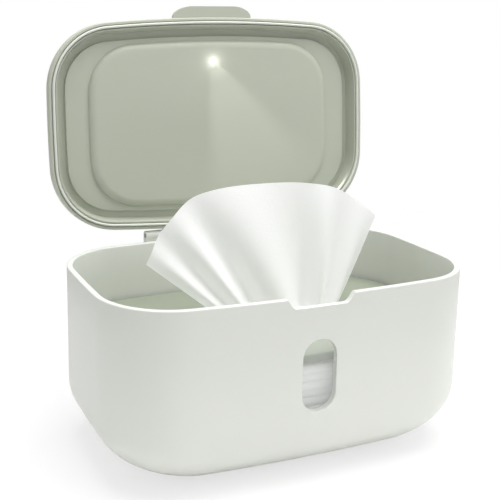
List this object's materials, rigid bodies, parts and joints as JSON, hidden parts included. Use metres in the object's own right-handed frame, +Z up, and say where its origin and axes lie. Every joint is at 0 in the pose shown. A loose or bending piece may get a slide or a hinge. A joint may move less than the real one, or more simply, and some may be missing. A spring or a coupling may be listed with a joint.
{
  "type": "wet wipes dispenser",
  "caption": "Rounded table-top box for wet wipes with a hinged domed lid standing open, a pill-shaped window, a weight plate and one wipe pulled up.",
  "frame": {"origin": "middle of the face the box stands on, the underside of its non-slip pad", "axes": "+X along the box to its right end, +Y to the hinge at the back, +Z up"},
  "size_m": [0.19, 0.1386, 0.2161],
  "materials": {
    "shell": "satin moulded plastic, pale sage white",
    "lid": "satin moulded plastic, pale sage green",
    "plate": "satin moulded plastic, darker sage green",
    "pane": "clear moulded plastic",
    "gasket": "soft silicone, pale sage",
    "pad": "matt silicone",
    "steel": "plain steel",
    "wipe": "white non-woven cloth",
    "lens": "lit clear lens",
    "led": "light-emitting diode",
    "board": "green circuit board",
    "holder": "black moulded plastic"
  },
  "bodies": {
    "tub": {"tub_shell": "shell", "window_pane": "pane", "base_pad": "pad", "hinge_pin": "steel", "wipes_stack": "wipe", "weight_plate": "plate", "plate_weight_left": "steel", "plate_weight_right": "steel", "pulled_wipe": "wipe"},
    "lid": {"lid_shell": "lid", "lid_liner": "lid", "lid_gasket": "gasket", "lamp_lens": "lens", "lamp_led": "led", "lamp_board": "board", "tilt_switch": "steel", "battery_holder": "holder", "battery_contact": "steel", "coin_cell": "steel", "battery_door": "lid", "board_screw_left": "steel", "board_screw_right": "steel"}
  },
  "joints": [
    {"name": "lid_hinge", "type": "hinge", "parent": "tub", "child": "lid", "pos_m": [0, 0.0597, 0.0937], "axis": [1, 0, 0], "range_deg": [0, 94.7], "deforming": ["pulled_wipe"]}
  ]
}
